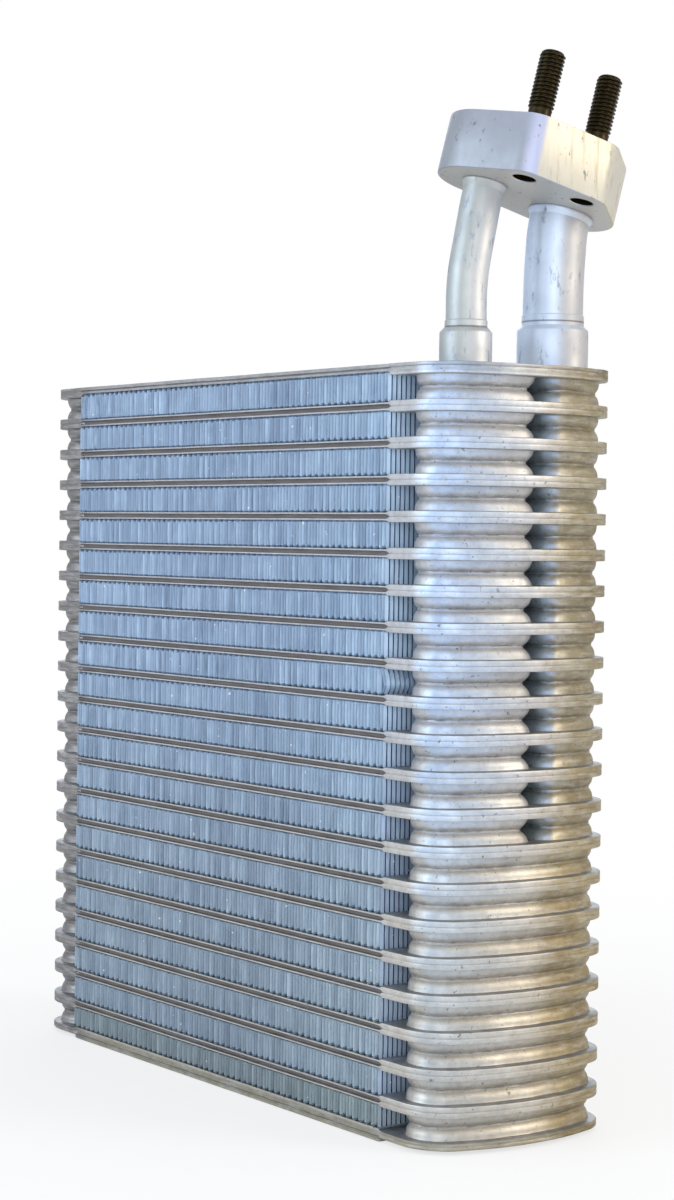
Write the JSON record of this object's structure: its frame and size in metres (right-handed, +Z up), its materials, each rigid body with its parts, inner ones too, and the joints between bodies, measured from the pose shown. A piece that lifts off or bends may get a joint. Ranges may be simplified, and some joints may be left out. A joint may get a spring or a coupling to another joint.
{
  "type": "evaporator core",
  "caption": "Brazed aluminium evaporator core: stacked flat tubes and louvred fins between cup tanks, with two bent pipes in a machined fitting block with threaded studs.",
  "frame": {"origin": "middle of the bottom end plate's underside", "axes": "+X along the core towards the pipe end, +Y from the front fin face to the back, +Z up"},
  "size_m": [0.264, 0.076, 0.3375],
  "materials": {
    "plate": "matt, brazed",
    "fin": "thin rolled sheet, matt",
    "socket": "turned, dulled",
    "pipe": "drawn, satin",
    "block": "machined, satin",
    "stud": "black oxide"
  },
  "bodies": {
    "root": {"tube_01": "plate", "tube_02": "plate", "tube_03": "plate", "tube_04": "plate", "tube_05": "plate", "tube_06": "plate", "tube_07": "plate", "tube_08": "plate", "tube_09": "plate", "tube_10": "plate", "tube_11": "plate", "tube_12": "plate", "tube_13": "plate", "tube_14": "plate", "tube_15": "plate", "tube_16": "plate", "tube_17": "plate", "tube_18": "plate", "tube_19": "plate", "tube_20": "plate", "fin_01": "fin", "fin_02": "fin", "fin_03": "fin", "fin_04": "fin", "fin_05": "fin", "fin_06": "fin", "fin_07": "fin", "fin_08": "fin", "fin_09": "fin", "fin_10": "fin", "fin_11": "fin", "fin_12": "fin", "fin_13": "fin", "fin_14": "fin", "fin_15": "fin", "fin_16": "fin", "fin_17": "fin", "fin_18": "fin", "fin_19": "fin", "fin_20": "fin", "fin_21": "fin", "top_cup_plate": "plate", "top_end_plate": "plate", "bottom_cup_plate": "plate", "bottom_end_plate": "plate", "small_socket": "socket", "large_socket": "socket", "small_pipe": "pipe", "large_pipe": "pipe", "fitting_block": "block", "studs": "stud"}
  },
  "joints": []
}
